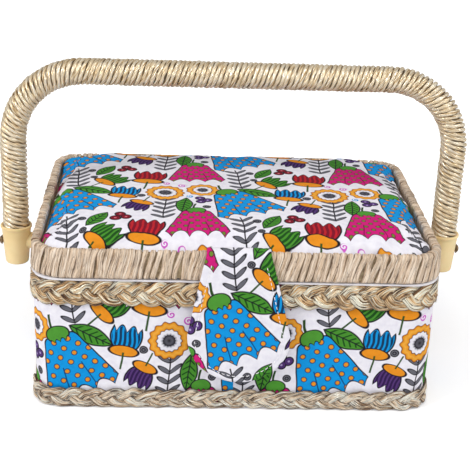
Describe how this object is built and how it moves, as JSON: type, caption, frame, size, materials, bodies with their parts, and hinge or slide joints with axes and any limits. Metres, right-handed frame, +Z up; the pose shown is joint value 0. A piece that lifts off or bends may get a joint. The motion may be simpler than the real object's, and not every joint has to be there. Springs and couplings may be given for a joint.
{
  "type": "sewing basket",
  "caption": "Cloth-covered sewing basket with a hinged padded lid, a snap tab in front, a folding cord-wound handle and a loose pocketed tray.",
  "frame": {"origin": "middle of the underside of the box, on the surface that it stands on", "axes": "+Z up; front, with the closing tab, towards -Y; +X to the right seen from the front"},
  "size_m": [0.3002, 0.181, 0.1933],
  "materials": {
    "printed_cotton": "white cotton with a coloured all-over print",
    "lining": "plain white woven cloth",
    "board": "pressed board",
    "straw_braid": "flat plaited straw, satin",
    "paper_cord": "matt twisted paper cord",
    "gloss_cord": "glossy twisted cord",
    "cane": "bent cane",
    "socket_plastic": "moulded cream plastic, half gloss",
    "tray_plastic": "moulded milky plastic",
    "steel": "dark plated steel",
    "brass": "brassed, satin",
    "pin_felt": "felt"
  },
  "bodies": {
    "root": {"base_cover": "lining", "base_board": "board", "box_wall": "board", "body_fabric": "printed_cotton", "body_lining": "lining", "rim_braid": "straw_braid", "base_braid": "straw_braid", "tray_ledge_left": "lining", "tray_ledge_right": "lining", "sewing_tray": "tray_plastic", "body_snap": "brass", "hinge_body_leaf_left": "brass", "hinge_body_leaf_right": "brass", "hinge_pin_left": "steel", "hinge_pin_right": "steel", "body_screw_left_a": "steel", "body_screw_left_b": "steel", "body_screw_right_a": "steel", "body_screw_right_b": "steel"},
    "lid": {"lid_hoop": "board", "lid_winding": "paper_cord", "lid_board": "board", "lid_pad": "printed_cotton", "lid_lining": "lining", "pin_cushion": "pin_felt", "tab_anchor": "printed_cotton", "hinge_lid_leaf_left": "brass", "hinge_lid_leaf_right": "brass", "lid_screw_left_a": "steel", "lid_screw_left_b": "steel", "lid_screw_right_a": "steel", "lid_screw_right_b": "steel"},
    "tab": {"closure_tab": "printed_cotton", "tab_snap": "brass"},
    "pivot_bolts": {"handle_bolt_left": "steel", "handle_bolt_right": "steel", "bolt_washer_left": "steel", "bolt_washer_right": "steel", "bolt_nut_left": "steel", "bolt_nut_right": "steel"},
    "handle": {"handle_core": "cane", "handle_winding": "gloss_cord", "handle_socket_left": "socket_plastic", "handle_socket_right": "socket_plastic"}
  },
  "joints": [
    {"name": "lid_open", "type": "hinge", "parent": "root", "child": "lid", "pos_m": [0, 0.0893, 0.0965], "axis": [-1, 0, 0], "range_deg": [0, 90]},
    {"name": "tab_lift", "type": "hinge", "parent": "lid", "child": "tab", "pos_m": [0, -0.0885, 0.1049], "axis": [-1, 0, 0], "range_deg": [0, 110]},
    {"name": "bolt_turn", "type": "hinge", "parent": "root", "child": "pivot_bolts", "pos_m": [0, 0, 0.073], "axis": [-1, 0, 0], "range_deg": [0, 121]},
    {"name": "handle_swing", "type": "hinge", "parent": "pivot_bolts", "child": "handle", "pos_m": [0, 0, 0.073], "axis": [1, 0, 0], "range_deg": [0, 110]}
  ],
  "couplings": [
    {"joint": "bolt_turn", "follows": "lid_open", "ratio": 1.34}
  ]
}
